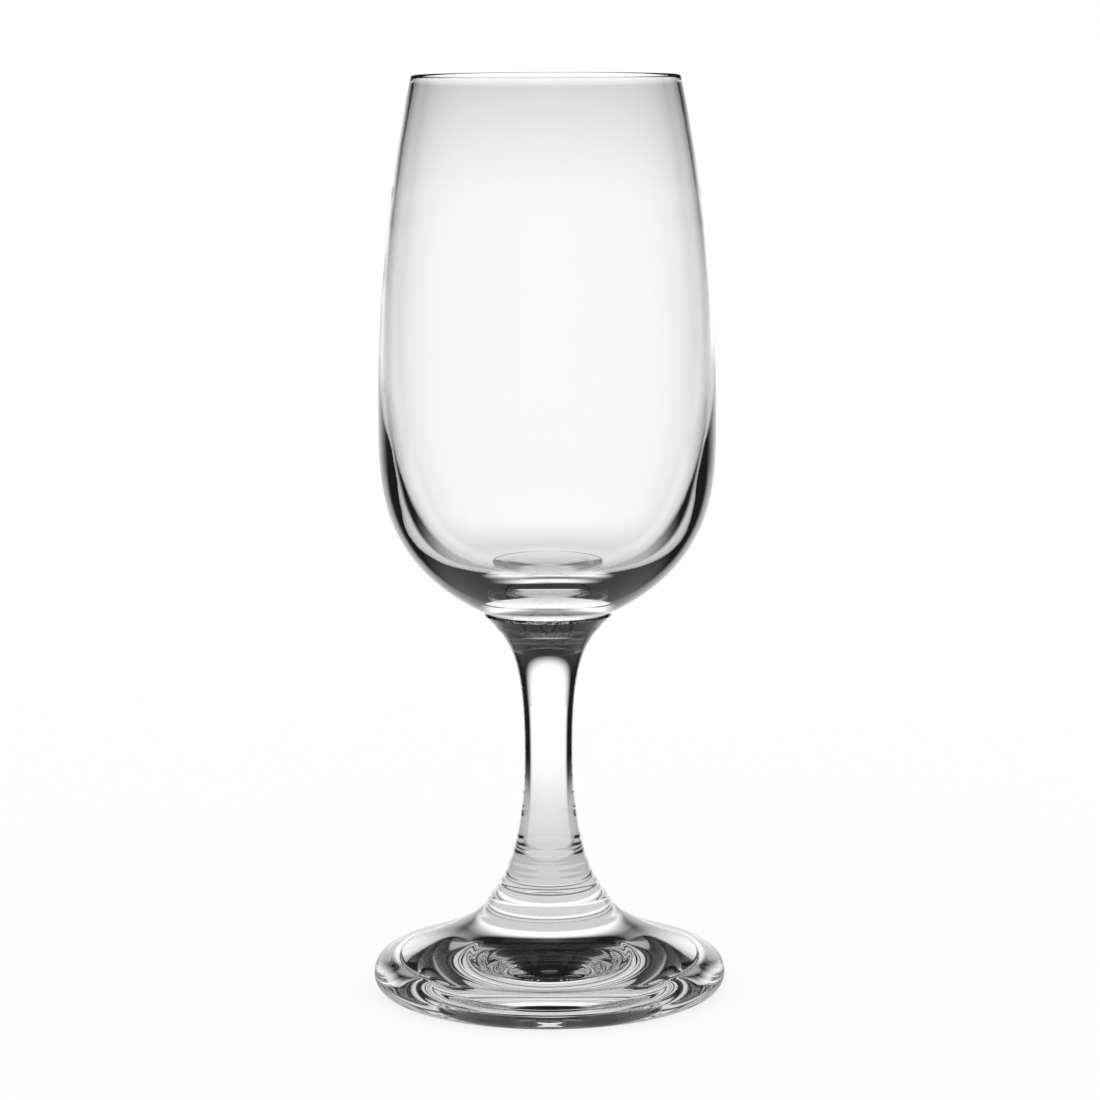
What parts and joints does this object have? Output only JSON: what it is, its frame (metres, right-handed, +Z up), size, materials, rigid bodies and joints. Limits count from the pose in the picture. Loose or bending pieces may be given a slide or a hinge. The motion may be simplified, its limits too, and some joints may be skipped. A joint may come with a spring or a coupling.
{
  "type": "sherry glass",
  "caption": "Stemmed sherry glass of clear glass: tall bowl drawn in at the rim, thick base, short waisted stem and round hollowed foot.",
  "frame": {"origin": "centre of the circle that the foot stands on, in the plane of the table", "axes": "+Z up along the glass's axis; the glass is round, so X and Y are free"},
  "size_m": [0.0544, 0.0544, 0.141],
  "materials": {
    "clear_glass": "clear, fire-polished"
  },
  "bodies": {
    "root": {"bowl": "clear_glass", "stem": "clear_glass", "foot": "clear_glass"}
  },
  "joints": []
}
